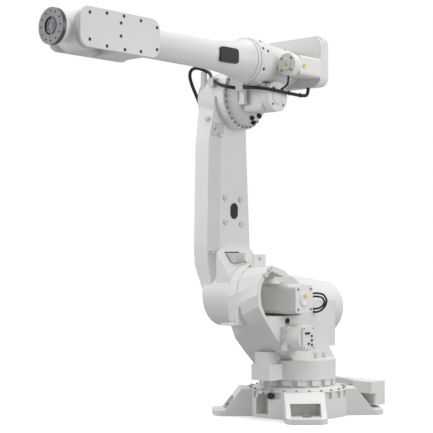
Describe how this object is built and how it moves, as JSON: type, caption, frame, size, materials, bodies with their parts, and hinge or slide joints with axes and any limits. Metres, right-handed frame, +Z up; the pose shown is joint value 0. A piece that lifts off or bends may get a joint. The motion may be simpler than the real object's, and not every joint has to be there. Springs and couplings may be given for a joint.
{
  "type": "six-axis industrial robot arm",
  "caption": "Floor-mounted jointed robot arm with a turning base, spring balancer, long forearm and a flanged wrist for a tool.",
  "frame": {"origin": "on the floor, where the first axis meets the underside of the base", "axes": "+Z up along the first axis, +X towards the tool flange, +Y to the robot's left"},
  "size_m": [2.9148, 1.051, 2.457],
  "materials": {
    "base": "light grey two-part paint on grey iron castings",
    "turret": "light grey two-part paint on grey iron castings",
    "arm": "light grey two-part paint on castings",
    "motor": "light grey paint on ribbed aluminium housings",
    "gear": "light grey paint on machined gear discs",
    "steel": "turned steel",
    "flange": "dark grey machined steel flange",
    "cable": "black cable jacket",
    "plastic": "black moulded plastic",
    "bumper": "painted steel dampers with rubber pads"
  },
  "bodies": {
    "base": {"base_casting": "base", "connector_box": "base", "axis1_bearing_ring": "base", "axis1_base_stop": "base", "base_cable_plug": "plastic"},
    "turret": {"turret_ring": "turret", "turret_casting": "turret", "axis2_motor": "motor", "axis2_motor_cap": "motor", "sensor_housing": "turret", "brake_release_panel": "turret", "brake_buttons": "plastic", "axis2_stop_bracket": "turret", "axis1_stop_block": "turret", "axis1_stop_pin": "steel", "lifting_lug": "turret", "balancer_bracket": "turret", "turret_oil_plug": "plastic", "motor2_cables": "cable"},
    "balancer": {"balancer_cylinder": "turret", "balancer_cap": "turret"},
    "balancer_rod": {"balancer_rod": "steel"},
    "lower_arm": {"lower_arm_casting": "arm", "lower_arm_plug": "plastic", "axis2_damper": "bumper", "axis3_damper": "bumper", "balancer_pin": "steel", "harness_post": "arm", "harness_clip": "bumper", "lower_harness": "cable"},
    "upper_arm": {"axis3_gearbox": "gear", "axis3_motor": "motor", "axis3_motor_cap": "motor", "upper_arm_housing": "arm", "gear_block": "arm", "rear_cover": "arm", "axis4_motor": "motor", "axis4_motor_cap": "motor", "axis5_motor": "motor", "axis5_motor_cap": "motor", "harness_clamp": "bumper", "upper_harness": "cable", "motor4_cable": "cable"},
    "forearm": {"forearm_tube": "arm", "forearm_side_cover": "plastic", "wrist_housing": "arm", "wrist_cover_left": "arm", "wrist_cover_right": "arm"},
    "tilt": {"tilt_housing": "arm"},
    "flange": {"tool_flange": "flange"}
  },
  "joints": [
    {"name": "axis1_turn", "type": "hinge", "parent": "base", "child": "turret", "pos_m": [0, 0, 0.2], "axis": [0, 0, 1], "range_deg": [-170, 170]},
    {"name": "axis2_lean", "type": "hinge", "parent": "turret", "child": "lower_arm", "pos_m": [0.32, 0, 0.78], "axis": [0, 1, 0], "range_deg": [-65, 85]},
    {"name": "axis3_lift", "type": "hinge", "parent": "lower_arm", "child": "upper_arm", "pos_m": [0.32, 0, 2.06], "axis": [0, -1, 0], "range_deg": [-70, 180]},
    {"name": "axis4_roll", "type": "hinge", "parent": "upper_arm", "child": "forearm", "pos_m": [0.53, 0, 2.26], "axis": [1, 0, 0], "range_deg": [-300, 300]},
    {"name": "axis5_tilt", "type": "hinge", "parent": "forearm", "child": "tilt", "pos_m": [1.9125, 0, 2.26], "axis": [0, -1, 0], "range_deg": [-120, 120]},
    {"name": "axis6_turn", "type": "hinge", "parent": "tilt", "child": "flange", "pos_m": [2.1125, 0, 2.26], "axis": [1, 0, 0], "range_deg": [-360, 360]},
    {"name": "balancer_swing", "type": "hinge", "parent": "turret", "child": "balancer", "pos_m": [-0.43, -0.358, 0.69], "axis": [0, -1, 0], "range_deg": [-10.21, 13.29]},
    {"name": "rod_swing", "type": "hinge", "parent": "lower_arm", "child": "balancer_rod", "pos_m": [0.17107, -0.358, 0.76213], "axis": [0, -1, 0], "range_deg": [-75.21, 98.29]}
  ],
  "couplings": [
    {"joint": "balancer_swing", "follows": "axis2_lean", "ratio": 0.154},
    {"joint": "rod_swing", "follows": "axis2_lean", "ratio": 1.154}
  ]
}
